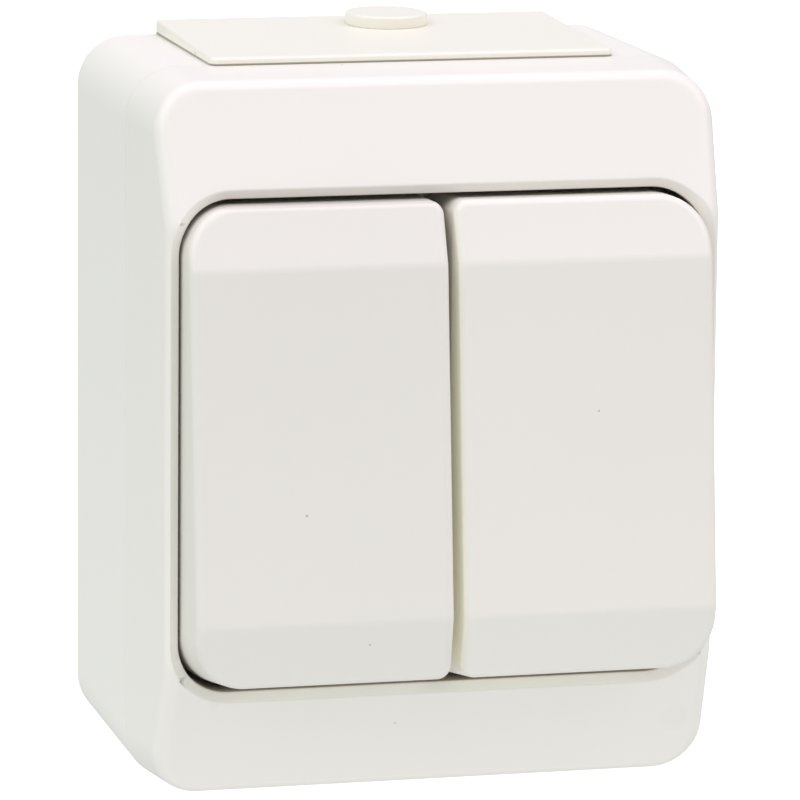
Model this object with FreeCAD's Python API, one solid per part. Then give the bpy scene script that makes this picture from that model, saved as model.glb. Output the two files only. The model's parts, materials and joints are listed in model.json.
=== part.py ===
"""Surface-mounted weatherproof two-gang rocker switch, in millimetres.

X points right, Y into the wall, Z up. The origin is the centre of the rear face,
so everything lies at negative Y. The rockers rest with their top ends pressed in.
"""
import FreeCAD, Part
import math
import os

V = FreeCAD.Vector

# Back box, which widens a little towards its mouth
box_width = 66.0
box_height = 82.0
box_depth = 28.9
box_side_draft = 0.68
box_end_draft = 0.15
box_corner_r = 5.7
wall = 2.3
floor = 2.2

# Rear face of the box
rear_recess_side = 14.0
rear_recess_end = 5.4
rear_recess_r = 3.0
rear_recess = 0.7
rear_pad_r = 12.0
knockout_r = 8.5
knockout_groove = 0.8
wall_hole_r = 3.0
wall_hole_side = 9.0
wall_hole_end = 9.0

# Cover, which narrows towards the front; its front is bent back above and below
cover_depth = 16.1
cover_side_draft = 5.3
cover_end_draft = 2.75
cover_band = 15.7
cover_band_slope = 22.5
cover_bend_r = 5.0
cover_edge_r = 1.8
cover_wall = 2.2
joint_relief = 0.15

# Tongue of the box inside the cover, with the gasket on it
tongue_inset = 1.3
tongue_depth = 2.5
tongue_fit = 0.1
gasket_thick = 1.2

# Opening of the cover and the web behind it
rim_side = 2.6
rim_end = 12.95
opening_corner_r = 6.1
opening_bevel = 1.15
well_wall = 1.6
web_thick = 1.8
window_margin = 0.8

# Rocker caps
rocker_side_gap = 0.3
rocker_end_gap = 0.6
rocker_split = 0.8
rocker_rise = 5.6
rocker_band = 8.2
rocker_end_slope = 17.5
rocker_bend_r = 2.5
rocker_edge_r = 1.0
rocker_side_draft = 0.1
rocker_end_draft = 3.2
rocker_split_draft = 0.9
rocker_inner_corner_r = 1.6
rocker_core_r = 0.3
rocker_wall = 1.8
rocker_tilt = 6.0
skirt_depth = 2.5
skirt_clearance = 1.05
notch_depth = 3.0
rib_thick = 1.4
rib_reach = 10.0
clip_size = 3.0
clip_spread = 14.0
clip_fit = 0.1

# Pivot of the rockers
pin_r = 1.0
pin_fit = 0.06
pin_overhang = 0.5

# Cradles, which carry the rocker caps and the plungers
cradle_height = 20.0
cradle_plate = 2.0
cradle_stand = 2.5
hub_r = 2.8
side_play = 0.3
tube_r = 3.2
tube_bore_r = 2.1
tube_end = 7.5
tube_clearance = 1.6
pin_cover = 0.8
plunger_r = 2.0
plunger_head = 3.5
plunger_neck_r = 1.2
plunger_nose = 0.6
plunger_tip_r = 0.7
spring_wire = 0.45
spring_turns = 3
spring_seat = 4.2

# Insert: support frame, base and its ears
frame_stand = 0.3
frame_thick = 1.0
frame_fit = 0.4
frame_end = 3.9
frame_lip = 2.4
frame_corner_r = 3.0
seal_thick = 1.0
seal_width = 2.4
ear_thick = 1.4
ear_nose = 2.6
ear_half_height = 4.0
ear_inset = 1.3
base_depth = 14.8
base_floor = 2.0
base_wall = 1.6
chamber_height = 23.0

# Contact levers
lever_stand = 7.6
lever_thick = 0.8
lever_width = 5.0
lever_room = 1.0
stop_reach = 2.5
plunger_gap = 0.15
rivet_r = 1.6
rivet_rise = 1.0
rivet_margin = 0.5
rivet_end = 0.9
pivot_gap = 0.1
contact_gap = 0.2

# Terminals
strip_thick = 1.0
strip_width = 5.0
clamp_width = 8.0
clamp_height = 4.9
clamp_depth = 8.0
clamp_fit = 0.2
wire_hole_r = 1.3
wire_stand = 2.8
slot_fit = 0.3

# Screws and their bosses
boss_r = 3.3
boss_side = 6.4
boss_end = 3.5
post_r = 3.2
post_side = 6.0
post_end = 6.7
screw_r = 1.5
screw_head_r = 2.7
screw_head = 1.7
screw_bite = 8.0
screw_tip_room = 1.5
screw_hole_fit = 0.2
drive_slot = 0.7
drive_depth = 0.7
terminal_screw_r = 1.5
terminal_head_r = 2.2
terminal_head = 1.4

# Entry plate on top and the stopper in it
plate_side = 9.4
plate_front_overlap = 0.3
plate_rear_rise = 1.7
plate_front_rise = 0.9
plate_lip_r = 0.4
plate_corner_r = 1.0
plate_neck_margin = 2.3
plate_rear_margin = 2.4
plate_flange = 1.0
plate_fit = 0.1
stopper_x = 2.4
stopper_from_wall = 6.8
stopper_r = 4.8
stopper_rise = 1.4
stopper_edge = 0.15
stopper_stem_r = 3.9
stopper_tip_r = 2.9
stopper_lip = 0.6
stopper_lip_rise = 0.5

# Overrun of cuts past a wall, and the closeness that counts as touching
cut_over = 5.0
touch = 0.01

# How squarely a face looks forward to count as a front, and up to where it is a side
front_facing = 0.7
side_facing = 0.5

# Sizes that follow the box
opening_width = box_width - 2 * rim_side
opening_height = box_height - 2 * rim_end
cover_flat_half = box_height / 2 - cover_band
rocker_half_height = opening_height / 2 - rocker_end_gap
rocker_flat_half = opening_height / 2 - rocker_band
plate_width = box_width - 2 * plate_side
post_x = opening_width / 2 - post_side
post_z = opening_height / 2 - post_end
frame_width = 2 * (post_x - post_r - frame_fit)
frame_height = box_height - 2 * frame_end
boss_x = frame_width / 2 - boss_side
boss_z = frame_height / 2 - boss_end
base_width = frame_width - 2 * frame_lip
clamp_pocket = clamp_height + 2 * clamp_fit
base_height = chamber_height + 4 * base_wall + 2 * clamp_pocket
lever_length = chamber_height - 2 * lever_room
rivet_offset = lever_length / 2 - rivet_end - rivet_r

# Planes across the depth
tilt = math.radians(rocker_tilt)
parting_y = -box_depth
front_y = parting_y - cover_depth
face_y = front_y - rocker_rise
frame_back_y = parting_y - frame_stand
frame_front_y = frame_back_y - frame_thick
web_back_y = frame_front_y - seal_thick
web_front_y = web_back_y - web_thick
skirt_y = web_front_y - skirt_clearance - rocker_half_height * math.sin(tilt)
pivot_y = skirt_y - skirt_depth
base_back_y = frame_back_y + base_depth
chamber_floor_y = base_back_y - base_floor
tongue_y = parting_y - tongue_depth
gasket_y = tongue_y - gasket_thick

# Places across the width
ear_half = ear_thick / 2
ear_out = base_width / 2 - ear_inset
ear_in = ear_out - ear_thick
cradle_in = ear_half + side_play
cradle_out = ear_in - side_play
cradle_mid = (cradle_in + cradle_out) / 2
window_half_width = ear_out + window_margin
window_half_height = tube_r + tube_end * math.sin(tilt) + tube_clearance
chamber_out = base_width / 2 - base_wall

# Lever, worked out from the plunger that drives it
tube_y = pivot_y + tube_end
lever_front_y = chamber_floor_y - lever_stand
lever_back_y = lever_front_y + lever_thick
plunger_tip_y = lever_front_y - plunger_gap
contact_y = (lever_back_y + rivet_rise * math.cos(tilt)
             + (rivet_offset + rivet_r) * math.sin(tilt) + contact_gap)


def tapered(first, second, radii):
    """Solid between two upright rectangles (y, x0, x1, z0, z1) with its four long edges rounded.

    The radii start at the lower left edge, seen from the front, and go round anticlockwise.
    """
    front, rear = sorted((first, second))
    y0, left0, right0, low0, high0 = front
    y1, left1, right1, low1, high1 = rear
    solid = Part.makeWedge(left0, y0, low0, low1, left1, right0, y1, high0, high1, right1)
    middle = (y0 + y1) / 2
    left, right = (left0 + left1) / 2, (right0 + right1) / 2
    low, high = (low0 + low1) / 2, (high0 + high1) / 2
    corners = [(left, low), (right, low), (right, high), (left, high)]
    for radius in sorted(set(radii)):
        places = [corner for corner, own in zip(corners, radii) if own == radius]
        solid = solid.makeFillet(radius, [long_edge(solid, x, middle, z) for x, z in places])
    return solid


def long_edge(solid, x, y, z):
    """The edge of the solid whose middle is nearest to a point."""
    return min(solid.Edges, key=lambda edge: edge.CenterOfMass.distanceToPoint(V(x, y, z)))


def centred(y_rear, y_front, sizes, inset, radius):
    """Tapered solid round the Y axis; sizes gives the half width and half height at a depth."""
    rings = []
    for y in (y_rear, y_front):
        half_x, half_z = sizes(y)
        rings.append((y, inset - half_x, half_x - inset, inset - half_z, half_z - inset))
    return tapered(rings[0], rings[1], [radius - inset] * 4)


def rounded_block(half_x, half_z, radius, y0, y1):
    """Block round the Y axis with its four edges along Y rounded."""
    sides = (-half_x, half_x, -half_z, half_z)
    return tapered((y0, *sides), (y1, *sides), [radius] * 4)


def block(x0, x1, y0, y1, z0, z1):
    low = V(min(x0, x1), min(y0, y1), min(z0, z1))
    high = V(max(x0, x1), max(y0, y1), max(z0, z1))
    size = high.sub(low)
    return Part.makeBox(size.x, size.y, size.z, low)


def rod_y(x, z, r, y0, y1):
    return Part.makeCylinder(r, abs(y1 - y0), V(x, min(y0, y1), z), V(0, 1, 0))


def rod_x(y, z, r, x0, x1):
    return Part.makeCylinder(r, abs(x1 - x0), V(min(x0, x1), y, z), V(1, 0, 0))


def side_profile(flat_y, flat_half, slope, bend_r, rear_y, reach):
    """Outline seen from the side: a flat front that bends back towards both ends."""
    angle = math.radians(slope)
    run = bend_r * math.tan(angle / 2)
    end_y = flat_y + (reach - flat_half) * math.tan(angle)
    centre = (flat_y + bend_r, flat_half - run)
    flat_end = (flat_y, flat_half - run)
    slope_start = (flat_y + run * math.sin(angle), flat_half + run * math.cos(angle))
    middle = (centre[0] - bend_r * math.cos(angle / 2), centre[1] + bend_r * math.sin(angle / 2))
    upper = [(rear_y, reach), (end_y, reach), slope_start, middle, flat_end]
    top = [V(0, y, z) for y, z in upper]
    low = [V(0, y, -z) for y, z in upper]
    edges = [Part.makeLine(top[0], top[1]), Part.makeLine(top[1], top[2])]
    edges.append(Part.Arc(top[2], top[3], top[4]).toShape())
    edges.append(Part.makeLine(top[4], low[4]))
    edges.append(Part.Arc(low[4], low[3], low[2]).toShape())
    edges.append(Part.makeLine(low[2], low[1]))
    edges.append(Part.makeLine(low[1], low[0]))
    edges.append(Part.makeLine(low[0], top[0]))
    return Part.Wire(edges)


def across(wire, half_width):
    """Solid from a side profile, spread evenly to both sides."""
    solid = Part.Face(wire).extrude(V(2 * half_width, 0, 0))
    solid.translate(V(-half_width, 0, 0))
    return solid


def front_edges(solid, inside, rear_limit):
    """Edges where a front surface meets a side surface, in front of rear_limit."""
    chosen = []
    for edge in solid.Edges:
        box = edge.BoundBox
        if box.YMax > rear_limit or not inside(box.Center):
            continue
        tilts = []
        for face in solid.ancestorsOfType(edge, Part.Face):
            u0, u1, v0, v1 = face.ParameterRange
            tilts.append(face.normalAt((u0 + u1) / 2, (v0 + v1) / 2).y)
        if min(tilts) < -front_facing and max(tilts) > -side_facing:
            chosen.append(edge)
    return chosen


def about_pivot(solid, degrees):
    """The solid turned about the rockers' pivot."""
    turned = solid.copy()
    turned.rotate(V(0, pivot_y, 0), V(1, 0, 0), degrees)
    return turned


def box_half_sizes(y):
    """Half width and half height of the box at depth y."""
    half_x = box_width / 2 - y * math.tan(math.radians(box_side_draft))
    half_z = box_height / 2 - y * math.tan(math.radians(box_end_draft))
    return half_x, half_z


def cover_half_sizes(y):
    """Half width and half height of the cover at depth y."""
    mouth_x, mouth_z = box_half_sizes(parting_y)
    forward = parting_y - y
    half_x = mouth_x - forward * math.tan(math.radians(cover_side_draft))
    half_z = mouth_z - forward * math.tan(math.radians(cover_end_draft))
    return half_x, half_z


def box_solid(y0, y1, inset):
    """Solid of the box between two depths, drawn in by inset."""
    return centred(y0, y1, box_half_sizes, inset, box_corner_r)


def cover_solid(y0, y1, inset):
    """Solid of the cover between two depths, drawn in by inset."""
    return centred(y0, y1, cover_half_sizes, inset, box_corner_r)


def ring_band(outer_inset, inner_inset, y0, y1):
    """Band that follows the cover's walls between two insets, from y0 to y1."""
    return cover_solid(y0, y1, outer_inset).cut(cover_solid(y0, y1, inner_inset))


def plate_slot(side_gap):
    """Space of the entry plate's neck in the top wall, wider by side_gap."""
    half_x = plate_width / 2 - plate_neck_margin + side_gap
    rear = -plate_rear_margin + side_gap
    return block(-half_x, half_x, tongue_y, rear, box_height / 2 - cut_over, box_height / 2 + cut_over)


def make_back_box():
    """Box that is fixed to the wall: floor, drafted walls, tongue, bosses and posts."""
    box = box_solid(0, parting_y, 0).cut(box_solid(-floor, parting_y, wall))
    box = box.fuse(ring_band(tongue_inset, cover_wall, parting_y, tongue_y))
    recess = rounded_block(box_width / 2 - rear_recess_side, box_height / 2 - rear_recess_end,
                           rear_recess_r, 0, -rear_recess)
    box = box.cut(recess.cut(rod_y(0, 0, rear_pad_r, 0, -rear_recess)))
    groove = rod_y(0, 0, knockout_r, 0, -rear_recess)
    box = box.cut(groove.cut(rod_y(0, 0, knockout_r - knockout_groove, 0, -rear_recess)))
    raised = [rod_y(x, z, boss_r, -floor, frame_back_y) for x, z in boss_places()]
    raised += [rod_y(x, z, post_r, -floor, web_back_y) for x, z in post_places()]
    box = box.fuse(raised)
    holes = [rod_y(x, z, wall_hole_r, 0, parting_y) for x, z in wall_holes()]
    thread = screw_bite + screw_tip_room
    holes += [rod_y(x, z, screw_r, frame_back_y + thread, frame_back_y) for x, z in boss_places()]
    holes += [rod_y(x, z, screw_r, web_back_y + thread, web_back_y) for x, z in post_places()]
    box = box.cut(holes)
    return box.cut(plate_slot(plate_fit)).removeSplitter()


def wall_holes():
    """Where the box is screwed to the wall."""
    x = box_width / 2 - wall_hole_side
    z = box_height / 2 - wall_hole_end
    return [(sx * x, sz * z) for sx in (-1, 1) for sz in (-1, 1)]


def boss_places():
    """Where the support frame is screwed to the box."""
    return [(-boss_x, boss_z), (boss_x, -boss_z)]


def post_places():
    """Where the cover is screwed to the box, under the rockers."""
    return [(post_x, post_z), (-post_x, -post_z)]


def make_cover():
    """Moulded cover: drafted walls, bent front, bevelled opening and the web in its well."""
    shell = cover_solid(parting_y, front_y - cover_wall, 0)
    rear_edges = [edge for edge in shell.Edges if edge.BoundBox.YMin > parting_y - touch]
    shell = shell.makeChamfer(joint_relief, rear_edges)
    reach = box_height / 2 + cut_over
    profile = side_profile(front_y, cover_flat_half, cover_band_slope, cover_bend_r, parting_y, reach)
    shell = shell.common(across(profile, box_width))
    outer_edges = front_edges(shell, lambda point: True, parting_y - cover_wall)
    shell = bevelled_opening(shell.makeFillet(cover_edge_r, outer_edges))
    inner_profile = side_profile(front_y + cover_wall, cover_flat_half, cover_band_slope,
                                 cover_bend_r, parting_y, reach)
    hollow = cover_solid(parting_y, front_y, cover_wall).common(across(inner_profile, box_width))
    hollow = hollow.cut(opening_block(well_wall, web_back_y, front_y))
    shell = shell.cut(hollow)
    shell = shell.cut(opening_block(0, web_front_y, front_y))
    rebate_inset = tongue_inset - tongue_fit
    shell = shell.cut(ring_band(rebate_inset, cover_wall, parting_y, gasket_y))
    window = block(-window_half_width, window_half_width, web_back_y, web_front_y,
                   -window_half_height, window_half_height)
    holes = [rod_y(x, z, screw_r + screw_hole_fit, web_back_y, web_front_y) for x, z in post_places()]
    return shell.cut([window] + holes).removeSplitter()


def opening_block(outset, y0, y1):
    """Space of the cover's opening between two depths, widened by outset."""
    return rounded_block(opening_width / 2 + outset, opening_height / 2 + outset,
                         opening_corner_r + outset, y0, y1)


def bevelled_opening(shell):
    """Cuts the opening and bevels its rim."""
    shell = shell.cut(opening_block(0, web_front_y, 2 * front_y - web_front_y))

    def at_opening(point):
        return abs(point.x) < opening_width / 2 + touch and abs(point.z) < opening_height / 2 + touch

    return shell.makeChamfer(opening_bevel, front_edges(shell, at_opening, front_y + cover_wall))


def make_gasket():
    """Soft ring between the tongue of the box and the cover."""
    return ring_band(tongue_inset, cover_wall, tongue_y, gasket_y)


def make_entry_plate():
    """Plate that slides into the top wall: outer flange, neck, inner flange and tongue."""
    half_x = plate_width / 2
    top = box_height / 2
    rise = -parting_y * math.tan(math.radians(box_end_draft))
    end_y = parting_y - plate_front_overlap
    end_top = top + rise + plate_front_rise
    points = [V(-half_x, 0, top), V(-half_x, 0, top + plate_rear_rise),
              V(-half_x, end_y, end_top), V(-half_x, end_y, top + rise),
              V(-half_x, parting_y, top + rise), V(-half_x, 0, top)]
    plate = Part.Face(Part.makePolygon(points)).extrude(V(plate_width, 0, 0))
    corners = [long_edge(plate, x, end_y, end_top) for x in (-half_x, half_x)]
    plate = plate.makeFillet(plate_corner_r, corners)
    lips = [edge for edge in plate.Edges if edge.BoundBox.ZMin > top + plate_front_rise / 2
            and edge.BoundBox.ZMax > end_top - touch and edge.BoundBox.YMin < -touch]
    plate = plate.makeFillet(plate_lip_r, lips)
    neck = plate_slot(0).common(box_solid(0, parting_y, 0)).cut(box_solid(0, parting_y, wall))
    tongue = ring_band(tongue_inset, cover_wall, parting_y, tongue_y).common(plate_slot(0))
    flange = box_solid(-floor, parting_y, wall).cut(box_solid(-floor, parting_y, wall + plate_flange))
    flange = flange.common(block(-half_x, half_x, -floor - plate_fit, parting_y, 0, box_height))
    inner_half = half_x - wall
    flange = flange.common(block(-inner_half, inner_half, 0, parting_y, 0, box_height))
    plate = plate.fuse([neck, tongue, flange])
    return plate.cut(stopper_hole()).removeSplitter()


def plate_slope():
    """Angle by which the plate's top falls towards the front."""
    rise = -parting_y * math.tan(math.radians(box_end_draft))
    fall = plate_rear_rise - rise - plate_front_rise
    return math.degrees(math.atan(fall / (box_depth + plate_front_overlap)))


def stand_on_plate(solid):
    """Moves a solid that is built round the Z axis, base at zero, onto the plate's top."""
    height = box_height / 2 + plate_rear_rise
    height -= stopper_from_wall * math.tan(math.radians(plate_slope()))
    placed = solid.copy()
    placed.rotate(V(0, 0, 0), V(1, 0, 0), plate_slope())
    placed.translate(V(stopper_x, -stopper_from_wall, height))
    return placed


def stopper_hole():
    """Space of the stopper's stem, right through the plate."""
    hole = Part.makeCylinder(stopper_stem_r, 3 * cut_over, V(0, 0, -2 * cut_over))
    return stand_on_plate(hole)


def make_stopper():
    """Soft stopper that closes the cable entry: flat head, stem and snap lip."""
    depth = plate_rear_rise + wall + plate_flange
    lip_r = stopper_stem_r + stopper_lip_rise
    points = [(0, stopper_rise), (stopper_r - stopper_edge, stopper_rise),
              (stopper_r, stopper_rise - stopper_edge), (stopper_r, 0),
              (stopper_stem_r, 0), (stopper_stem_r, -depth - plate_fit), (lip_r, -depth - plate_fit),
              (stopper_tip_r, -depth - 2 * stopper_lip),
              (stopper_tip_r, -wall), (0, -wall), (0, stopper_rise)]
    section = Part.makePolygon([V(x, 0, z) for x, z in points])
    stopper = Part.Face(section).revolve(V(0, 0, 0), V(0, 0, 1), 360)
    return stand_on_plate(stopper)


def rocker_rectangle(side, y, inset):
    """Rectangle (y, x0, x1, z0, z1) of a rocker cap at depth y, drawn in by inset."""
    forward = skirt_y - y
    outer = (opening_width / 2 - rocker_side_gap - inset
             - forward * math.tan(math.radians(rocker_side_draft)))
    inner = rocker_split / 2 + forward * math.tan(math.radians(rocker_split_draft)) + inset
    half_z = rocker_half_height - forward * math.tan(math.radians(rocker_end_draft)) - inset
    x0, x1 = sorted((side * inner, side * outer))
    return y, x0, x1, -half_z, half_z


def rocker_body(side, inset):
    """Solid of a rocker cap, drawn in by inset on every side but the rear."""
    big = opening_corner_r - rocker_side_gap - inset
    small = max(rocker_inner_corner_r - inset, rocker_core_r)
    radii = [small, big, big, small] if side > 0 else [big, small, small, big]
    body = tapered(rocker_rectangle(side, skirt_y, inset),
                   rocker_rectangle(side, face_y - rocker_wall, inset), radii)
    profile = side_profile(face_y + inset, rocker_flat_half, rocker_end_slope, rocker_bend_r,
                           skirt_y, opening_height / 2 + cut_over)
    return body.common(across(profile, box_width))


def make_rocker(side):
    """Rocker cap: hollow moulding with bent face, ribs and two clips for its cradle."""
    cap = rocker_body(side, 0)
    edges = front_edges(cap, lambda point: True, skirt_y - rocker_wall)
    cap = cap.makeFillet(rocker_edge_r, edges)
    cap = cap.cut(rocker_body(side, rocker_wall))
    plate_y = cradle_plate_front()
    notch_half = cradle_height / 2 + side_play
    cap = cap.cut(block(0, side * notch_depth, plate_y - side_play, skirt_y, -notch_half, notch_half))
    inner_face = face_y + rocker_wall
    middle = side * cradle_mid
    additions = []
    for z in clip_heights():
        additions.append(block(middle - rib_reach / 2, middle + rib_reach / 2, inner_face, plate_y,
                               z - rib_thick / 2, z + rib_thick / 2))
        additions.append(block(middle - clip_size / 2, middle + clip_size / 2, inner_face,
                               plate_y + cradle_plate, z - clip_size / 2, z + clip_size / 2))
    cap = cap.fuse(additions).removeSplitter()
    return about_pivot(cap, -rocker_tilt)


def clip_heights():
    return [-clip_spread / 2, clip_spread / 2]


def cradle_plate_front():
    """Depth of the front face of the cradle's plate."""
    return pivot_y - cradle_stand - cradle_plate


def make_cradle(side):
    """Carrier of one rocker cap: plate, hub on the pin and the plunger's tube."""
    x0, x1 = side * cradle_in, side * cradle_out
    middle = side * cradle_mid
    plate_y = cradle_plate_front()
    plate = block(x0, x1, plate_y, plate_y + cradle_plate, -cradle_height / 2, cradle_height / 2)
    neck = block(x0, x1, plate_y + cradle_plate, pivot_y, -hub_r, hub_r)
    hub = rod_x(pivot_y, 0, hub_r, x0, x1)
    tube = rod_y(middle, 0, tube_r, pivot_y, tube_y)
    cradle = plate.fuse([neck, hub, tube])
    cuts = [rod_x(pivot_y, 0, pin_r + pin_fit, x0, x1), spring_chamber(middle)]
    hole = clip_size / 2 + clip_fit
    for z in clip_heights():
        cuts.append(block(middle - hole, middle + hole, plate_y, plate_y + cradle_plate, z - hole, z + hole))
    cradle = cradle.cut(cuts).removeSplitter()
    return about_pivot(cradle, -rocker_tilt)


def spring_chamber(middle):
    """Bore of the tube, from its floor beside the pin to its open end."""
    return rod_y(middle, 0, tube_bore_r, spring_floor(), tube_y)


def spring_floor():
    """Depth of the plastic that separates the spring from the pin."""
    return pivot_y + pin_r + pin_fit + pin_cover


def make_plunger(side):
    """Plunger that slides in the tube and presses on the contact lever."""
    middle = side * cradle_mid
    head_y = spring_floor() + spring_seat
    body = rod_y(middle, 0, plunger_r, head_y, head_y + plunger_head)
    nose_y = plunger_tip_y - plunger_nose
    neck = rod_y(middle, 0, plunger_neck_r, head_y + plunger_head, nose_y)
    nose = Part.makeCone(plunger_neck_r, plunger_tip_r, plunger_nose, V(middle, nose_y, 0), V(0, 1, 0))
    return about_pivot(body.fuse([neck, nose]).removeSplitter(), -rocker_tilt)


def make_spring(side):
    """Coil spring between the floor of the tube and the plunger."""
    middle = side * cradle_mid
    mean_r = plunger_r - spring_wire
    height = spring_seat - spring_wire
    half = spring_wire / 2
    path = Part.makeHelix(height / spring_turns, height, mean_r)
    signs = ((-1, -1), (1, -1), (1, 1), (-1, 1), (-1, -1))
    corners = [V(mean_r + sx * half, 0, sz * half) for sx, sz in signs]
    coil = Part.Wire(path).makePipeShell([Part.makePolygon(corners)], True, True)
    coil.rotate(V(0, 0, 0), V(1, 0, 0), -90)
    coil.translate(V(middle, spring_floor() + half, 0))
    return about_pivot(coil, -rocker_tilt)


def make_pin():
    """Steel pin through the ears of the base and both hubs."""
    return rod_x(pivot_y, 0, pin_r, -ear_out - pin_overhang, ear_out + pin_overhang)


def make_support_frame():
    """Steel plate that carries the base and is screwed to the box."""
    plate = rounded_block(frame_width / 2, frame_height / 2, frame_corner_r, frame_back_y, frame_front_y)
    holes = [rod_y(x, z, screw_r + screw_hole_fit, frame_back_y, frame_front_y) for x, z in boss_places()]
    window = block(-window_half_width, window_half_width, frame_back_y, frame_front_y,
                   -window_half_height, window_half_height)
    reach = chamber_out - base_wall
    for sign in (-1, 1):
        z = sign * clamp_mid()
        holes.append(block(-reach, reach, frame_back_y, frame_front_y,
                           z - terminal_head_r - slot_fit, z + terminal_head_r + slot_fit))
    return plate.cut([window] + holes).removeSplitter()


def make_rocker_seal():
    """Soft ring that seals the window of the web against the support frame."""
    outer = rounded_block(window_half_width + seal_width, window_half_height + seal_width,
                          seal_width, frame_front_y, web_back_y)
    inner = rounded_block(window_half_width, window_half_height, window_margin, frame_front_y, web_back_y)
    return outer.cut(inner)


def clamp_mid():
    """Height of the terminals' middle above or below the pivot."""
    return (chamber_height + clamp_pocket) / 2 + base_wall


def make_base():
    """Insulating base: chambers for the levers, pockets for the terminals and the ears."""
    base = block(-base_width / 2, base_width / 2, base_back_y, frame_back_y,
                 -base_height / 2, base_height / 2)
    cuts = []
    for side in (-1, 1):
        x0, x1 = side * base_wall / 2, side * chamber_out
        cuts.append(block(x0, x1, chamber_floor_y, frame_back_y, -chamber_height / 2, chamber_height / 2))
        for sign in (-1, 1):
            low = sign * (chamber_height / 2 + base_wall)
            high = sign * (base_height / 2 - base_wall)
            cuts.append(block(x0, x1, chamber_floor_y, frame_back_y, low, high))
    base = base.cut(cuts)
    base = base.fuse(ears() + lever_stops())
    return base.cut(conductor_slots()).removeSplitter()


def ears():
    """Three upright ears with bores for the pin."""
    solids = []
    root_y = frame_back_y + 2 * base_wall
    for x0, x1 in ((-ear_out, -ear_in), (-ear_half, ear_half), (ear_in, ear_out)):
        upright = block(x0, x1, root_y, pivot_y, -ear_half_height, ear_half_height)
        nose = rod_x(pivot_y, 0, ear_nose, x0, x1)
        upright = upright.cut(block(x0, x1, pivot_y, frame_front_y, ear_nose, ear_half_height))
        upright = upright.cut(block(x0, x1, pivot_y, frame_front_y, -ear_nose, -ear_half_height))
        ear = upright.fuse(nose).cut(rod_x(pivot_y, 0, pin_r, x0, x1))
        solids.append(ear)
    return solids


def lever_stops():
    """Ribs that the lower ends of the levers rest on while the contacts are open."""
    end = lever_length / 2
    stop_y = lever_back_y + end * math.sin(tilt) + contact_gap
    stops = []
    for side in (-1, 1):
        stops.append(block(side * base_wall / 2, side * chamber_out, stop_y, chamber_floor_y,
                           -chamber_height / 2, stop_reach - end))
    return stops


def conductor_slots():
    """Slots in the inner walls where the strips of the terminals pass."""
    slots = []
    half = strip_width / 2 + slot_fit
    strip_top = chamber_floor_y - strip_thick - slot_fit
    slots.append(block(-base_wall, base_wall, strip_top, chamber_floor_y, -half, half))
    feed_x = -cradle_mid
    slots.append(block(feed_x - half, feed_x + half, strip_top, chamber_floor_y,
                       -chamber_height / 2 - base_wall, stop_reach - lever_length / 2))
    arm_front = contact_y + rivet_rise - slot_fit
    arm_back = contact_y + rivet_rise + strip_thick + slot_fit
    for side in (-1, 1):
        middle = side * cradle_mid
        slots.append(block(middle - half, middle + half, arm_front, arm_back,
                           chamber_height / 2, chamber_height / 2 + base_wall))
        slots.append(wire_bore(middle, 1, base_height / 2 - 2 * base_wall, base_height / 2))
    slots.append(wire_bore(feed_x, -1, base_height / 2 - 2 * base_wall, base_height / 2))
    return slots


def wire_bore(middle, sign, near, far):
    """Bore along Z for a wire, from near to far on one side of the pivot."""
    start = V(middle, chamber_floor_y - wire_stand, sign * near)
    return Part.makeCylinder(wire_hole_r, far - near, start, V(0, 0, sign))


def clamp_block(middle, sign):
    """Terminal block, before its bores are cut."""
    z = sign * clamp_mid()
    return block(middle - clamp_width / 2, middle + clamp_width / 2, chamber_floor_y - clamp_depth,
                 chamber_floor_y, z - clamp_height / 2, z + clamp_height / 2)


def clamp_bores(middle, sign):
    """Wire bore of a terminal block and the thread of its screw."""
    near = clamp_mid() - clamp_height / 2
    thread = rod_y(middle, sign * clamp_mid(), terminal_screw_r, chamber_floor_y - wire_stand,
                   chamber_floor_y - clamp_depth)
    return [wire_bore(middle, sign, near, near + clamp_height), thread]


def make_feed_terminal():
    """Common conductor: clamp, strip, cross bar and the two knife edges of the levers."""
    half = strip_width / 2
    strip_top = chamber_floor_y - strip_thick
    feed_x = -cradle_mid
    bar = block(-cradle_mid - half, cradle_mid + half, strip_top, chamber_floor_y, -half, half)
    strip = block(feed_x - half, feed_x + half, strip_top, chamber_floor_y, -clamp_mid(), -half)
    pieces = [strip, clamp_block(feed_x, -1)]
    for side in (-1, 1):
        pieces.append(knife_edge(side * cradle_mid, half, strip_top))
    return bar.fuse(pieces).cut(clamp_bores(feed_x, -1)).removeSplitter()


def knife_edge(middle, half, root_y):
    """Upright plate with a sharp edge that a lever rocks on."""
    edge_y = lever_back_y + pivot_gap
    half_thick = strip_thick / 2
    points = [V(middle - half, root_y, -half_thick), V(middle - half, edge_y + half_thick, -half_thick),
              V(middle - half, edge_y, 0), V(middle - half, edge_y + half_thick, half_thick),
              V(middle - half, root_y, half_thick), V(middle - half, root_y, -half_thick)]
    return Part.Face(Part.makePolygon(points)).extrude(V(2 * half, 0, 0))


def make_outlet_terminal(side):
    """Switched conductor of one gang: clamp, arm and the fixed contact."""
    middle = side * cradle_mid
    half = strip_width / 2
    arm_y = contact_y + rivet_rise
    arm = block(middle - half, middle + half, arm_y, arm_y + strip_thick,
                rivet_offset - rivet_r - rivet_margin, clamp_mid())
    rivet = rod_y(middle, rivet_offset, rivet_r, contact_y, arm_y)
    return clamp_block(middle, 1).fuse([arm, rivet]).cut(clamp_bores(middle, 1)).removeSplitter()


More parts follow.
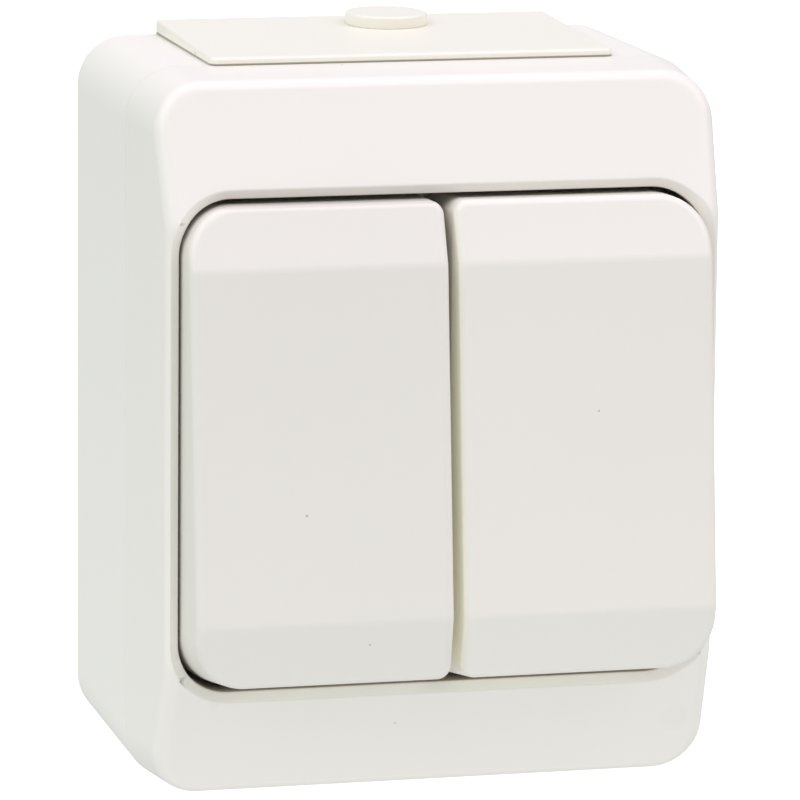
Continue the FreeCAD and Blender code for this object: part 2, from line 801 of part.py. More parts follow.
def make_lever(side):
    """Contact lever with a silver rivet at its upper end, tilted against its stop."""
    middle = side * cradle_mid
    end = lever_length / 2
    half = lever_width / 2
    strip = block(middle - half, middle + half, lever_front_y, lever_back_y, -end, end)
    rivet = rod_y(middle, rivet_offset, rivet_r, lever_back_y, lever_back_y + rivet_rise)
    lever = strip.fuse(rivet).removeSplitter()
    lever.rotate(V(0, lever_back_y, 0), V(1, 0, 0), rocker_tilt)
    return lever


def screw(x, z, seat_y, length, shank_r, head_r, head_rise):
    """Slotted screw that seats at seat_y and points into the wall."""
    shank = rod_y(x, z, shank_r, seat_y, seat_y + length)
    head = rod_y(x, z, head_r, seat_y - head_rise, seat_y)
    slot = block(x - head_r, x + head_r, seat_y - head_rise, seat_y - head_rise + drive_depth,
                 z - drive_slot / 2, z + drive_slot / 2)
    return head.fuse(shank).cut(slot).removeSplitter()


def make_frame_screws():
    length = frame_thick + screw_bite
    return [screw(x, z, frame_front_y, length, screw_r, screw_head_r, screw_head) for x, z in boss_places()]


def make_cover_screws():
    length = web_thick + screw_bite
    return [screw(x, z, web_front_y, length, screw_r, screw_head_r, screw_head) for x, z in post_places()]


def make_terminal_screws():
    seat = chamber_floor_y - clamp_depth
    length = clamp_depth - wire_stand - wire_hole_r
    places = [(-cradle_mid, -clamp_mid()), (-cradle_mid, clamp_mid()), (cradle_mid, clamp_mid())]
    return [screw(x, z, seat, length, terminal_screw_r, terminal_head_r, terminal_head) for x, z in places]


def all_pieces():
    """Every node of the switch by name."""
    pieces = {
        "back_box": make_back_box(),
        "entry_plate": make_entry_plate(),
        "cable_stopper": make_stopper(),
        "box_gasket": make_gasket(),
        "cover": make_cover(),
        "rocker_seal": make_rocker_seal(),
        "support_frame": make_support_frame(),
        "switch_base": make_base(),
        "rocker_pin": make_pin(),
        "feed_terminal": make_feed_terminal(),
        "frame_screws": Part.makeCompound(make_frame_screws()),
        "cover_screws": Part.makeCompound(make_cover_screws()),
        "terminal_screws": Part.makeCompound(make_terminal_screws()),
    }
    for name, side in (("left", -1), ("right", 1)):
        pieces["rocker_" + name] = make_rocker(side)
        pieces["cradle_" + name] = make_cradle(side)
        pieces["plunger_" + name] = make_plunger(side)
        pieces["spring_" + name] = make_spring(side)
        pieces["contact_lever_" + name] = make_lever(side)
        pieces["outlet_terminal_" + name] = make_outlet_terminal(side)
    return pieces


os.makedirs("parts", exist_ok=True)
for node, shape in all_pieces().items():
    shape.exportStep("parts/" + node + ".step")
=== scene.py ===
"""Looks of a surface-mounted weatherproof switch with two rockers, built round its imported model."""

import json
import math

import bmesh
import bpy
from bpy.props import FloatProperty, FloatVectorProperty, PointerProperty
from mathutils import Matrix, Vector


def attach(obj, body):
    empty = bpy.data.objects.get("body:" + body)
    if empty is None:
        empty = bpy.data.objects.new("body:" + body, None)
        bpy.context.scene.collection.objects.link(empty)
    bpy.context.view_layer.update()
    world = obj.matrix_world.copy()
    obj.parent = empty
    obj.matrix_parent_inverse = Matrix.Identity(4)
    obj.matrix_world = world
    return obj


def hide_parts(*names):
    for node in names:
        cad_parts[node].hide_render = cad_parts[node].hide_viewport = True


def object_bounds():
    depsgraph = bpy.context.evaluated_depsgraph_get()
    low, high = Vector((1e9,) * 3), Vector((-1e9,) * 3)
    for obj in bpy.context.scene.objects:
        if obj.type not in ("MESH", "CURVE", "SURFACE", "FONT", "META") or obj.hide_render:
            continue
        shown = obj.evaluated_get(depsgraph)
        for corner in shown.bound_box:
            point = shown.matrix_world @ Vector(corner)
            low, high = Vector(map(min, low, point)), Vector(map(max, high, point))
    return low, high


bl_info = {
    "name": "Weatherproof switch looks",
    "version": (1, 0, 0),
    "blender": (4, 5, 0),
    "location": "View3D > Sidebar > Switch",
    "description": "Finishes the mouldings and metal parts of a surface-mounted rocker switch",
    "category": "Object",
}

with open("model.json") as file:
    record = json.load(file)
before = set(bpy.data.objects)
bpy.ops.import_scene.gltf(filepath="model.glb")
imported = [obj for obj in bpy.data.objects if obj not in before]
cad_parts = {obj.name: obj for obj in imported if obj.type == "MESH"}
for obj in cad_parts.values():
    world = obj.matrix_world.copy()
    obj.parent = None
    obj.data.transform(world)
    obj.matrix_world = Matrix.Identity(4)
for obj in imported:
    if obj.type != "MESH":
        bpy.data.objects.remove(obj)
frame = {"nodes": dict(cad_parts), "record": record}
CAD_LOW, CAD_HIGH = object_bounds()
MM = 0.001
BODY_OF = {node: body for body, nodes in frame["record"]["behaviour"]["bodies"].items()
           for node in nodes}

# How close two corners are one corner, and the angle from which an edge counts as sharp
WELD = 0.001 * MM
SHARP = math.radians(28.0)

# The edges of the opening's bevel lie in front of a plane, and their rounding runs out at the sides
OPENING_BACK = -42.6 * MM
OPENING_SIDE = 31.2 * MM
OPENING_FADE = 2.0 * MM

# Marks of use: place, radius in millimetres, strength
LEFT_SPECKS = [((-17.46, -51.32, -6.30), 0.17, 0.45), ((-10.32, -52.09, -21.12), 0.15, 0.35)]
RIGHT_SPECKS = [((16.34, -50.24, 4.03), 0.15, 0.4)]
COVER_SPECKS = [((-4.72, -41.89, -32.82), 0.15, 0.35), ((-8.68, -30.34, 41.01), 0.18, 0.55),
                ((-26.13, -43.41, -29.14), 0.7, 0.03), ((28.6, -41.4, -33.95), 1.9, 0.02)]
ENTRY_SPECKS = [((-23.60, -21.00, 41.50), 0.22, 0.7)]

# Painted shade in the gaps and along the foot of the entry plate: centre, half size and softness in
# millimetres, strength, colour
# Painted shadow on the left rocker's top wall, where the cover's edge shades it
LEFT_PAINTED_SHADOW = [((-15.0, -40.5, 28.37), (16.0, 6.0, 0.9), (0.25, 0.25, 0.25), 0.25,
              (0.22, 0.19, 0.14))]
# Painted shade, warm brown, on the walls inside the cover's opening, in the gap round the rockers
COVER_PAINTED_SHADE = [((0.0, -40.5, 0.0), (30.42, 2.0, 28.07), (0.1, 0.1, 0.1), 0.7, (0.42, 0.33, 0.22))]
# Painted shadow along the foot of the entry plate, where it sits on the housing
ENTRY_PAINTED_SHADOW = [((2.4, -14.0, 40.9), (40.0, 20.0, 0.32), (0.1, 0.1, 0.14), 0.9, (0.24, 0.23, 0.16))]

# Painted light, glowing zones that stand in for light through thin walls, between the rockers and
# at the opening's foot in the rockers' shade: centre, half size and softness in millimetres, colour
# Painted light in the gap between the rockers
SPLIT_PAINTED_LIGHT = [((0.0, -48.4, 0.0), (0.60, 3.4, 29.0), (0.2, 0.2, 0.2), (0.070, 0.070, 0.048))]
# Painted light on the foot of the opening's bevel, which the rockers shade
FOOT_PAINTED_LIGHT = [((0.0, -43.0, -28.5), (20.0, 0.6, 0.5), (7.0, 0.2, 0.15), (0.085, 0.088, 0.070))]

# Soft lamps: name, degrees to the right of the front and above the floor, spread in degrees,
# strength, colour
LAMPS = [
    ("Overhead", 0.0, 88.0, 60.0, 0.654, (0.809, 0.697, 1.0)),
    ("Upper left", -70.0, 45.0, 50.0, 1.008, (1.0, 0.960, 0.906)),
    ("Upper right", 60.0, 45.0, 50.0, 1.023, (1.0, 0.816, 0.889)),
    ("Floor bounce", 0.0, -65.0, 60.0, 0.771, (1.0, 0.887, 0.915)),
    ("Left fill", -80.0, 5.0, 70.0, 0.080, (1.0, 1.0, 1.0)),
]
AMBIENT_COLOUR = (0.938, 1.0, 0.999)
FLOOR_COLOUR = (0.9, 0.9, 0.9)
SENSOR_WIDTH = 36.0
PLASTIC_IOR = 1.53

# Sockets of a mix node's two colours and of its result
MIX_FIRST, MIX_SECOND, MIX_RESULT = 6, 7, 2

# Nodes of each finish
BOX_NODES = ["back_box"]
PLATE_NODES = ["entry_plate"]
SEAL_NODES = ["box_gasket", "rocker_seal"]
BASE_NODES = ["switch_base"]
CRADLE_NODES = ["cradle_left", "cradle_right", "plunger_left", "plunger_right"]

# Colours of the plastic and rubber parts inside
SEAL_COLOUR = (0.05, 0.05, 0.05)
BASE_COLOUR = (0.45, 0.45, 0.43)
CRADLE_COLOUR = (0.62, 0.61, 0.56)

# Metals: name, nodes, colour, roughness, scale of the grain and its depth in millimetres
METALS = [
    ("Zinc_sheet", ["support_frame"], (0.62, 0.63, 0.65), 0.38, 1200.0, 0.004),
    ("Zinc_screw", ["frame_screws", "cover_screws", "terminal_screws"],
     (0.66, 0.67, 0.70), 0.30, 1800.0, 0.004),
    ("Bright_steel", ["rocker_pin", "spring_left", "spring_right"],
     (0.72, 0.72, 0.73), 0.18, 2500.0, 0.002),
    ("Brass_strip", ["contact_lever_left", "contact_lever_right", "feed_terminal",
                     "outlet_terminal_left", "outlet_terminal_right"],
     (0.78, 0.60, 0.28), 0.28, 1500.0, 0.003),
]


class SwitchFinish(bpy.types.PropertyGroup):
    """Colours and surface of the mouldings."""
    box_colour: FloatVectorProperty(
        name="Box", description="Colour of the back box", subtype="COLOR", size=3,
        min=0.0, max=1.0, default=(0.975, 0.949, 0.891))
    cover_colour: FloatVectorProperty(
        name="Cover", description="Colour of the cover", subtype="COLOR", size=3,
        min=0.0, max=1.0, default=(0.930, 0.905, 0.850))
    # The two caps' colours differ as painted light: the left one is a darker copy, for the weaker
    # light that falls on it
    left_colour: FloatVectorProperty(
        name="Left rocker", description="Colour of the left rocker cap", subtype="COLOR", size=3,
        min=0.0, max=1.0, default=(0.858, 0.838, 0.783))
    right_colour: FloatVectorProperty(
        name="Right rocker", description="Colour of the right rocker cap", subtype="COLOR", size=3,
        min=0.0, max=1.0, default=(0.883, 0.860, 0.802))
    entry_colour: FloatVectorProperty(
        name="Cable entry", description="Colour of the entry plate and its stopper",
        subtype="COLOR", size=3, min=0.0, max=1.0, default=(0.931, 0.910, 0.811))
    dirt_colour: FloatVectorProperty(
        name="Specks", description="Colour of the specks of dirt and of the smudges",
        subtype="COLOR", size=3, min=0.0, max=1.0, default=(0.18, 0.17, 0.14))
    edge_round: FloatProperty(
        name="Edge rounding", description="Rounding of the cover's sharp edges", unit="LENGTH",
        min=0.0, default=0.18 * MM)
    # Painted light: the negative default rise makes the mouldings paler towards the bottom, as light
    # from below would
    painted_light_rise: FloatProperty(
        name="Painted light rise", default=-1.0,
        description="Share by which the mouldings get paler for each metre upwards")
    roughness: FloatProperty(
        name="Roughness", description="Mean roughness of the moulded surfaces",
        subtype="FACTOR", min=0.0, max=1.0, default=0.34)
    grain_size: FloatProperty(
        name="Grain size", description="Size of the grain that the mould leaves", unit="LENGTH",
        min=0.0, default=0.25 * MM)
    grain_depth: FloatProperty(
        name="Grain depth", description="Depth of the grain that the mould leaves", unit="LENGTH",
        min=0.0, default=0.004 * MM)


class SwitchStage(bpy.types.PropertyGroup):
    """Camera, floor and light."""
    azimuth: FloatProperty(
        name="Azimuth", description="How far the camera stands to the left of the front",
        subtype="ANGLE", default=math.radians(14.496))
    elevation: FloatProperty(
        name="Elevation", description="How far the camera stands above the front",
        subtype="ANGLE", default=math.radians(10.837))
    roll: FloatProperty(
        name="Roll", description="Turn of the camera about its own axis", subtype="ANGLE",
        default=math.radians(0.570))
    distance: FloatProperty(
        name="Distance", description="Distance from the camera to the point it looks at",
        unit="LENGTH", default=699.45 * MM)
    aim_depth: FloatProperty(
        name="Aim depth", description="Distance of that point from the wall", unit="LENGTH",
        default=25.0 * MM)
    aim_right: FloatProperty(
        name="Aim right", description="Shift of that point to the right in the picture",
        unit="LENGTH", default=-0.143 * MM)
    aim_up: FloatProperty(
        name="Aim up", description="Shift of that point upwards in the picture", unit="LENGTH",
        default=1.144 * MM)
    lens: FloatProperty(
        name="Lens", description="Focal length for a frame 36 mm wide", unit="CAMERA",
        default=272.87)
    floor_size: FloatProperty(
        name="Floor", description="Width of the floor", unit="LENGTH", default=20.0)
    floor_glow: FloatProperty(
        name="Floor glow", description="Strength of the floor's own light, which keeps it white",
        min=0.0, default=0.6)
    ambient: FloatProperty(
        name="Ambient", description="Strength of the light from all sides", min=0.0, default=0.589)
    lamps: FloatProperty(
        name="Lamps", description="Strength of all lamps together", min=0.0, default=1.0)


class SWITCH_PT_looks(bpy.types.Panel):
    """Lists the sizes, the colours and the pieces."""
    bl_label = "Switch looks"
    bl_idname = "SWITCH_PT_looks"
    bl_space_type = "VIEW_3D"
    bl_region_type = "UI"
    bl_category = "Switch"

    def draw(self, context):
        for group in (context.scene.switch_finish, context.scene.switch_stage):
            column = self.layout.column()
            for name in group.__annotations__:
                column.prop(group, name)
        column = self.layout.column()
        for operator in OPERATORS:
            column.operator(operator.bl_idname)


# Node trees

def add(tree, kind, **values):
    """New node of a tree; values name its properties, or its inputs by their label."""
    node = tree.nodes.new(kind)
    for name, value in values.items():
        label = name.replace("_", " ").title()
        if hasattr(node, name):
            setattr(node, name, value)
        else:
            node.inputs[label].default_value = value
    return node


def shader_group(name, inputs, outputs):
    """Empty node group with its sockets: a name, a kind and, for an input, a default each."""
    tree = bpy.data.node_groups.new(name, "ShaderNodeTree")
    for label, kind, default in inputs:
        socket = tree.interface.new_socket(label, in_out="INPUT", socket_type=kind)
        socket.default_value = default
    for label, kind in outputs:
        tree.interface.new_socket(label, in_out="OUTPUT", socket_type=kind)
    return tree, tree.nodes.new("NodeGroupInput"), tree.nodes.new("NodeGroupOutput")


def mould_grain():
    """Group: fine grain of an eroded mould, with soft uneven gloss over larger patches."""
    tree, source, sink = shader_group(
        "Mould grain",
        [("Vector", "NodeSocketVector", (0.0, 0.0, 0.0)), ("Scale", "NodeSocketFloat", 4000.0),
         ("Roughness", "NodeSocketFloat", 0.34), ("Spread", "NodeSocketFloat", 0.06)],
        [("Height", "NodeSocketFloat"), ("Roughness", "NodeSocketFloat")])
    fine = add(tree, "ShaderNodeTexNoise", detail=2.0)
    patch = add(tree, "ShaderNodeTexNoise", scale=90.0, detail=3.0)
    tree.links.new(source.outputs["Vector"], fine.inputs["Vector"])
    tree.links.new(source.outputs["Scale"], fine.inputs["Scale"])
    tree.links.new(source.outputs["Vector"], patch.inputs["Vector"])
    centred = add(tree, "ShaderNodeMath", operation="SUBTRACT")
    centred.inputs[1].default_value = 0.5
    tree.links.new(patch.outputs["Fac"], centred.inputs[0])
    spread = add(tree, "ShaderNodeMath", operation="MULTIPLY_ADD")
    tree.links.new(centred.outputs[0], spread.inputs[0])
    tree.links.new(source.outputs["Spread"], spread.inputs[1])
    tree.links.new(source.outputs["Roughness"], spread.inputs[2])
    tree.links.new(fine.outputs["Fac"], sink.inputs["Height"])
    tree.links.new(spread.outputs[0], sink.inputs["Roughness"])
    return tree


def uneven_tone():
    """Group: a colour that drifts a little in tone, and gets paler upwards by its rise, which is
    painted light.
    """
    tree, source, sink = shader_group(
        "Uneven tone",
        [("Vector", "NodeSocketVector", (0.0, 0.0, 0.0)),
         ("Colour", "NodeSocketColor", (0.8, 0.8, 0.8, 1.0)),
         ("Drift", "NodeSocketFloat", 0.02), ("Rise", "NodeSocketFloat", 0.0)],
        [("Colour", "NodeSocketColor")])
    cloud = add(tree, "ShaderNodeTexNoise", scale=35.0, detail=2.0)
    tree.links.new(source.outputs["Vector"], cloud.inputs["Vector"])
    centred = add(tree, "ShaderNodeMath", operation="SUBTRACT")
    centred.inputs[1].default_value = 0.5
    tree.links.new(cloud.outputs["Fac"], centred.inputs[0])
    height = add(tree, "ShaderNodeSeparateXYZ")
    tree.links.new(source.outputs["Vector"], height.inputs[0])
    slope = add(tree, "ShaderNodeMath", operation="MULTIPLY_ADD")
    slope.inputs[2].default_value = 1.0
    tree.links.new(height.outputs[2], slope.inputs[0])
    tree.links.new(source.outputs["Rise"], slope.inputs[1])
    gain = add(tree, "ShaderNodeMath", operation="MULTIPLY_ADD")
    tree.links.new(centred.outputs[0], gain.inputs[0])
    tree.links.new(source.outputs["Drift"], gain.inputs[1])
    tree.links.new(slope.outputs[0], gain.inputs[2])
    tone = add(tree, "ShaderNodeVectorMath", operation="SCALE")
    tree.links.new(source.outputs["Colour"], tone.inputs[0])
    tree.links.new(gain.outputs[0], tone.inputs["Scale"])
    tree.links.new(tone.outputs[0], sink.inputs["Colour"])
    return tree


def dirt_speck():
    """Group: mask of one small speck at a place, ragged at its rim."""
    tree, source, sink = shader_group(
        "Dirt speck",
        [("Vector", "NodeSocketVector", (0.0, 0.0, 0.0)),
         ("Place", "NodeSocketVector", (0.0, 0.0, 0.0)),
         ("Radius", "NodeSocketFloat", 0.0001), ("Strength", "NodeSocketFloat", 1.0)],
        [("Mask", "NodeSocketFloat")])
    ragged = add(tree, "ShaderNodeTexNoise", scale=6000.0, detail=1.0)
    tree.links.new(source.outputs["Vector"], ragged.inputs["Vector"])
    far = add(tree, "ShaderNodeVectorMath", operation="DISTANCE")
    tree.links.new(source.outputs["Vector"], far.inputs[0])
    tree.links.new(source.outputs["Place"], far.inputs[1])
    reach = add(tree, "ShaderNodeMath", operation="DIVIDE")
    tree.links.new(far.outputs["Value"], reach.inputs[0])
    tree.links.new(source.outputs["Radius"], reach.inputs[1])
    torn = add(tree, "ShaderNodeMath", operation="ADD")
    tree.links.new(reach.outputs[0], torn.inputs[0])
    tree.links.new(ragged.outputs["Fac"], torn.inputs[1])
    mask = add(tree, "ShaderNodeMapRange", interpolation_type="SMOOTHSTEP")
    mask.inputs["From Min"].default_value = 1.6
    mask.inputs["From Max"].default_value = 1.1
    tree.links.new(torn.outputs[0], mask.inputs["Value"])
    gain = add(tree, "ShaderNodeMath", operation="MULTIPLY")
    tree.links.new(mask.outputs[0], gain.inputs[0])
    tree.links.new(source.outputs["Strength"], gain.inputs[1])
    tree.links.new(gain.outputs[0], sink.inputs["Mask"])
    return tree


def soft_zone():
    """Group: mask of a block of space, soft outside its sides."""
    tree, source, sink = shader_group(
        "Soft zone",
        [("Vector", "NodeSocketVector", (0.0, 0.0, 0.0)),
         ("Centre", "NodeSocketVector", (0.0, 0.0, 0.0)),
         ("Half Size", "NodeSocketVector", (0.01, 0.01, 0.01)),
         ("Softness", "NodeSocketVector", (0.0002, 0.0002, 0.0002)),
         ("Strength", "NodeSocketFloat", 1.0)],
        [("Mask", "NodeSocketFloat")])
    away = add(tree, "ShaderNodeVectorMath", operation="SUBTRACT")
    tree.links.new(source.outputs["Vector"], away.inputs[0])
    tree.links.new(source.outputs["Centre"], away.inputs[1])
    sides = add(tree, "ShaderNodeVectorMath", operation="ABSOLUTE")
    tree.links.new(away.outputs[0], sides.inputs[0])
    beyond = add(tree, "ShaderNodeVectorMath", operation="SUBTRACT")
    tree.links.new(sides.outputs[0], beyond.inputs[0])
    tree.links.new(source.outputs["Half Size"], beyond.inputs[1])
    share = add(tree, "ShaderNodeVectorMath", operation="DIVIDE")
    tree.links.new(beyond.outputs[0], share.inputs[0])
    tree.links.new(source.outputs["Softness"], share.inputs[1])
    parts = add(tree, "ShaderNodeSeparateXYZ")
    tree.links.new(share.outputs[0], parts.inputs[0])
    wide = add(tree, "ShaderNodeMath", operation="MAXIMUM")
    tree.links.new(parts.outputs[0], wide.inputs[0])
    tree.links.new(parts.outputs[1], wide.inputs[1])
    widest = add(tree, "ShaderNodeMath", operation="MAXIMUM")
    tree.links.new(wide.outputs[0], widest.inputs[0])
    tree.links.new(parts.outputs[2], widest.inputs[1])
    fade = add(tree, "ShaderNodeMapRange", interpolation_type="SMOOTHSTEP")
    fade.inputs["To Min"].default_value = 1.0
    fade.inputs["To Max"].default_value = 0.0
    tree.links.new(widest.outputs[0], fade.inputs["Value"])
    gain = add(tree, "ShaderNodeMath", operation="MULTIPLY")
    tree.links.new(fade.outputs[0], gain.inputs[0])
    tree.links.new(source.outputs["Strength"], gain.inputs[1])
    tree.links.new(gain.outputs[0], sink.inputs["Mask"])
    return tree


GROUPS = {"Mould grain": mould_grain, "Uneven tone": uneven_tone, "Dirt speck": dirt_speck,
          "Soft zone": soft_zone}


def place_group(tree, name, **values):
    """Node of a material that holds a shared group, built only once, with its own values."""
    node = tree.nodes.new("ShaderNodeGroup")
    node.node_tree = bpy.data.node_groups.get(name) or GROUPS[name]()
    for label, value in values.items():
        node.inputs[label.replace("_", " ").title()].default_value = value
    return node


def new_material(name):
    """Material with its shader, its output and the object's own coordinates."""
    material = bpy.data.materials.new(name)
    material.use_nodes = True
    tree = material.node_tree
    shader = tree.nodes["Principled BSDF"]
    coordinates = tree.nodes.new("ShaderNodeTexCoord")
    return material, tree, shader, coordinates.outputs["Object"]


def tinted(tree, base, mask, colour):
    """Colour output that turns to another colour where a mask is; without a base it is black."""
    mix = add(tree, "ShaderNodeMix", data_type="RGBA")
    mix.inputs[MIX_SECOND].default_value = (*colour, 1.0)
    tree.links.new(mask, mix.inputs[0])
    if base is None:
        mix.inputs[MIX_FIRST].default_value = (0.0, 0.0, 0.0, 1.0)
    else:
        tree.links.new(base, mix.inputs[MIX_FIRST])
    return mix.outputs[MIX_RESULT]


def in_metres(lengths):
    """Millimetres as metres."""
    return [MM * each for each in lengths]


def zone_mask(tree, where, centre, half, softness, strength=1.0):
    """Mask output of one soft block of space; its measures are in millimetres."""
    zone = place_group(tree, "Soft zone", centre=in_metres(centre), half_size=in_metres(half),
                       softness=in_metres(softness), strength=strength)
    tree.links.new(where, zone.inputs["Vector"])
    return zone.outputs["Mask"]


def toned(tree, where, colour, **values):
    """Colour output of a surface whose tone is a little uneven."""
    tone = place_group(tree, "Uneven tone", colour=(*colour, 1.0), **values)
    tree.links.new(where, tone.inputs["Vector"])
    return tone.outputs["Colour"]


def grained(tree, shader, where, depth, **values):
    """Gives a shader the relief of a fine grain and its uneven gloss."""
    grain = place_group(tree, "Mould grain", **values)
    tree.links.new(where, grain.inputs["Vector"])
    tree.links.new(grain.outputs["Roughness"], shader.inputs["Roughness"])
    bump = add(tree, "ShaderNodeBump", strength=1.0, distance=depth)
    tree.links.new(grain.outputs["Height"], bump.inputs["Height"])
    tree.links.new(bump.outputs["Normal"], shader.inputs["Normal"])


def moulded_plastic(name, colour, finish, specks=(), painted_shade_zones=(), painted_light_zones=()):
    """Material of a moulded plastic piece.

    Specks are places, radii and strengths of dirt. Painted shade zones, a darker tint where shade
    falls, are a centre, half a size, a softness, a strength and a colour; a painted light zone, a
    glow that stands in for light through a thin wall, is a centre, half a size, a softness and a
    colour.
    """
    material, tree, shader, where = new_material(name)
    # The rise paints a light gradient, paler towards the bottom
    base = toned(tree, where, colour, rise=finish.painted_light_rise)
    # Painted shade: the colour turns darker in each zone where shade falls
    for centre, half, softness, strength, painted_shade_tint in painted_shade_zones:
        base = tinted(tree, base, zone_mask(tree, where, centre, half, softness, strength), painted_shade_tint)
    for place, radius, strength in specks:
        speck = place_group(tree, "Dirt speck", place=in_metres(place), radius=MM * radius,
                            strength=strength)
        tree.links.new(where, speck.inputs["Vector"])
        base = tinted(tree, base, speck.outputs["Mask"], finish.dirt_colour)
    tree.links.new(base, shader.inputs["Base Color"])
    # Painted light: each zone glows with its colour, though no lamp is there
    for centre, half, softness, painted_light_tint in painted_light_zones:
        lit = tinted(tree, None, zone_mask(tree, where, centre, half, softness), painted_light_tint)
        tree.links.new(lit, shader.inputs["Emission Color"])
        shader.inputs["Emission Strength"].default_value = 1.0
    grained(tree, shader, where, finish.grain_depth, scale=1.0 / finish.grain_size,
            roughness=finish.roughness)
    shader.inputs["IOR"].default_value = PLASTIC_IOR
    return material


def metal(name, colour, roughness, scale, depth):
    """Material of a bare or plated metal piece with a fine drawn or rolled grain."""
    material, tree, shader, where = new_material(name)
    tree.links.new(toned(tree, where, colour, drift=0.08), shader.inputs["Base Color"])
    grained(tree, shader, where, depth, scale=scale, roughness=roughness, spread=0.12)
    shader.inputs["Metallic"].default_value = 1.0
    return material


def soft_rubber(name, colour):
    """Material of the seals."""
    material, tree, shader, where = new_material(name)
    tree.links.new(toned(tree, where, colour, drift=0.1), shader.inputs["Base Color"])
    grained(tree, shader, where, 0.01 * MM, scale=2500.0, roughness=0.75, spread=0.1)
    return material


def dress(nodes, material):
    """Gives CAD nodes a material."""
    for name in nodes:
        for slot in frame["nodes"][name].material_slots:
            slot.material = material


def any_edge(middle):
    """How much of its rounding an edge gets, by its middle: all of it."""
    return 1.0


def opening_edge(middle):
    """The same for the opening's bevel, whose rounding runs out towards its long sides."""
    if middle.y >= OPENING_BACK:
        return 0.0
    return min(max((OPENING_SIDE - abs(middle.x)) / OPENING_FADE, 0.0), 1.0)


def softened_copy(node, name, edge, material, chosen=any_edge):
    """Merged copy of a CAD node, which it stands for, with its chosen sharp edges rounded."""
    shape = bmesh.new()
    shape.from_mesh(frame["nodes"][node].data)
    bmesh.ops.remove_doubles(shape, verts=shape.verts, dist=WELD)
    for face in shape.faces:
        face.smooth = True
        face.material_index = 0
    rounded = shape.edges.layers.float.new("bevel_weight_edge")
    for each in shape.edges:
        if each.calc_face_angle(0.0) > SHARP:
            each[rounded] = chosen((each.verts[0].co + each.verts[1].co) / 2)
            each.smooth = each[rounded] > 0.0
    piece = mesh_object(name, shape)
    piece.data.materials.clear()
    piece.data.materials.append(material)
    rounding = piece.modifiers.new("Edge rounding", "BEVEL")
    rounding.limit_method = "WEIGHT"
    rounding.width = edge
    rounding.segments = 2
    rounding.use_clamp_overlap = False
    shading = piece.modifiers.new("Even shading", "WEIGHTED_NORMAL")
    shading.keep_sharp = True
    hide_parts(node)
    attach(piece, BODY_OF[node])
    return piece


class SWITCH_OT_housing(bpy.types.Operator):
    """Finishes the back box and the cover."""
    bl_idname = "switch.housing"
    bl_label = "Finish the box and the cover"

    def execute(self, context):
        finish = context.scene.switch_finish
        dress(BOX_NODES, moulded_plastic("Box_plastic", finish.box_colour, finish))
        # The cover gets painted shade inside its opening and painted light at the opening's foot
        cover = moulded_plastic(
            "Cover_plastic", finish.cover_colour, finish, COVER_SPECKS, COVER_PAINTED_SHADE, FOOT_PAINTED_LIGHT)
        softened_copy("cover", "moulded_cover", finish.edge_round, cover, opening_edge)
        return {"FINISHED"}


class SWITCH_OT_rockers(bpy.types.Operator):
    """Finishes the two rocker caps."""
    bl_idname = "switch.rockers"
    bl_label = "Finish the rockers"

    def execute(self, context):
        finish = context.scene.switch_finish
        # The left cap gets painted shadow on its top wall and is the darker copy; both get painted
        # light in the gap between them
        dress(["rocker_left"], moulded_plastic(
            "Left_rocker_plastic", finish.left_colour, finish, LEFT_SPECKS, LEFT_PAINTED_SHADOW, SPLIT_PAINTED_LIGHT))
        dress(["rocker_right"], moulded_plastic(
            "Right_rocker_plastic", finish.right_colour, finish, RIGHT_SPECKS, (), SPLIT_PAINTED_LIGHT))
        return {"FINISHED"}


class SWITCH_OT_entry(bpy.types.Operator):
    """Finishes the entry plate and its stopper."""
    bl_idname = "switch.entry"
    bl_label = "Finish the cable entry"

    def execute(self, context):
        finish = context.scene.switch_finish
        # The entry plate gets painted shadow along its foot
        entry = moulded_plastic(
            "Entry_plastic", finish.entry_colour, finish, ENTRY_SPECKS, ENTRY_PAINTED_SHADOW)
        dress(PLATE_NODES, entry)
        softened_copy("cable_stopper", "soft_stopper", finish.edge_round / 2, entry)
        return {"FINISHED"}


class SWITCH_OT_insert(bpy.types.Operator):
    """Finishes the parts inside."""
    bl_idname = "switch.insert"
    bl_label = "Finish the insert"

    def execute(self, context):
        finish = context.scene.switch_finish
        dress(SEAL_NODES, soft_rubber("Seal_rubber", SEAL_COLOUR))
        dress(BASE_NODES, moulded_plastic("Base_plastic", BASE_COLOUR, finish))
        dress(CRADLE_NODES, moulded_plastic("Cradle_plastic", CRADLE_COLOUR, finish))
        for name, nodes, colour, roughness, scale, depth in METALS:
            dress(nodes, metal(name, colour, roughness, scale, depth * MM))
        return {"FINISHED"}


class SWITCH_OT_stage(bpy.types.Operator):
    """Sets up the camera, the floor and the light."""
    bl_idname = "switch.stage"
    bl_label = "Set up the stage"

    def execute(self, context):
        stage = context.scene.switch_stage
        lay_floor(stage)
        place_camera(context.scene, stage)
        light_stage(context.scene, stage)
        return {"FINISHED"}


def lay_floor(stage):
    """Plain pale floor under the switch; the floor bounce lamp shines through it in its place."""
    sheet = bmesh.new()
    bmesh.ops.create_grid(sheet, x_segments=1, y_segments=1, size=stage.floor_size / 2)
    bmesh.ops.translate(sheet, verts=sheet.verts, vec=(0.0, 0.0, CAD_LOW.z))
    floor = mesh_object("studio_floor", sheet)
    material, tree, shader, where = new_material("Studio_floor")
    tree.links.new(toned(tree, where, FLOOR_COLOUR, drift=0.004), shader.inputs["Base Color"])
    shader.inputs["Roughness"].default_value = 0.9
    shader.inputs["Specular IOR Level"].default_value = 0.0
    shader.inputs["Emission Color"].default_value = (1.0, 1.0, 1.0, 1.0)
    shader.inputs["Emission Strength"].default_value = stage.floor_glow
    floor.data.materials.append(material)
    floor.visible_diffuse = False
    floor.visible_glossy = False
    floor.visible_shadow = False


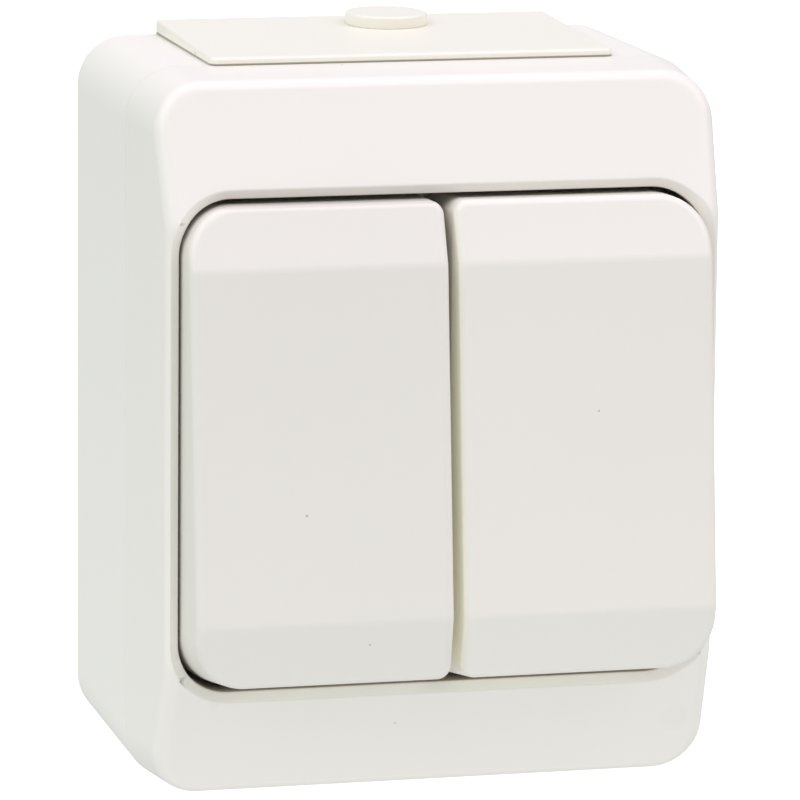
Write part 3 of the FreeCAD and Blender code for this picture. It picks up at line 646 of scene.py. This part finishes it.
def mesh_object(name, shape):
    """New object from a bmesh, which is freed."""
    mesh = bpy.data.meshes.new(name)
    shape.to_mesh(mesh)
    shape.free()
    piece = bpy.data.objects.new(name, mesh)
    bpy.context.scene.collection.objects.link(piece)
    return piece


def place_camera(scene, stage):
    """Camera at the angle of the photograph."""
    turn = Matrix.Rotation(-stage.azimuth, 3, "Z")
    forward = turn @ Vector((0.0, math.cos(stage.elevation), -math.sin(stage.elevation)))
    right = turn @ Vector((1.0, 0.0, 0.0))
    up = right.cross(forward)
    aim = Vector((0.0, -stage.aim_depth, 0.0)) + stage.aim_right * right + stage.aim_up * up
    level = Matrix((right, up, -forward)).transposed()
    camera = bpy.data.cameras.new("Camera")
    camera.lens = stage.lens
    camera.sensor_width = SENSOR_WIDTH
    camera.clip_end = 2.0 * stage.floor_size
    holder = bpy.data.objects.new("Camera", camera)
    scene.collection.objects.link(holder)
    rolled = level @ Matrix.Rotation(stage.roll, 3, "Z")
    holder.matrix_world = Matrix.Translation(aim - stage.distance * forward) @ rolled.to_4x4()
    scene.camera = holder


def light_stage(scene, stage):
    """Even light from all sides and a few soft lamps; tones are shown as they are."""
    world = bpy.data.worlds.new("Studio")
    scene.world = world
    world.use_nodes = True
    background = world.node_tree.nodes["Background"]
    background.inputs["Color"].default_value = (*AMBIENT_COLOUR, 1.0)
    background.inputs["Strength"].default_value = stage.ambient
    for name, side, height, spread, strength, colour in LAMPS:
        lamp = bpy.data.lights.new(name, "SUN")
        lamp.energy = strength * stage.lamps
        lamp.angle = math.radians(spread)
        lamp.color = colour
        holder = bpy.data.objects.new(name, lamp)
        tip = Matrix.Rotation(math.radians(90.0 - height), 4, "X")
        holder.matrix_world = Matrix.Rotation(math.radians(side), 4, "Z") @ tip
        scene.collection.objects.link(holder)
    scene.view_settings.view_transform = "Standard"


OPERATORS = (SWITCH_OT_housing, SWITCH_OT_rockers, SWITCH_OT_entry, SWITCH_OT_insert,
             SWITCH_OT_stage)
CLASSES = (SwitchFinish, SwitchStage, *OPERATORS, SWITCH_PT_looks)


def register():
    for each in CLASSES:
        bpy.utils.register_class(each)
    bpy.types.Scene.switch_finish = PointerProperty(type=SwitchFinish)
    bpy.types.Scene.switch_stage = PointerProperty(type=SwitchStage)


def unregister():
    del bpy.types.Scene.switch_stage
    del bpy.types.Scene.switch_finish
    for each in reversed(CLASSES):
        bpy.utils.unregister_class(each)


def main():
    register()
    bpy.ops.switch.housing()
    bpy.ops.switch.rockers()
    bpy.ops.switch.entry()
    bpy.ops.switch.insert()
    bpy.ops.switch.stage()


if __name__ == "__main__":
    main()
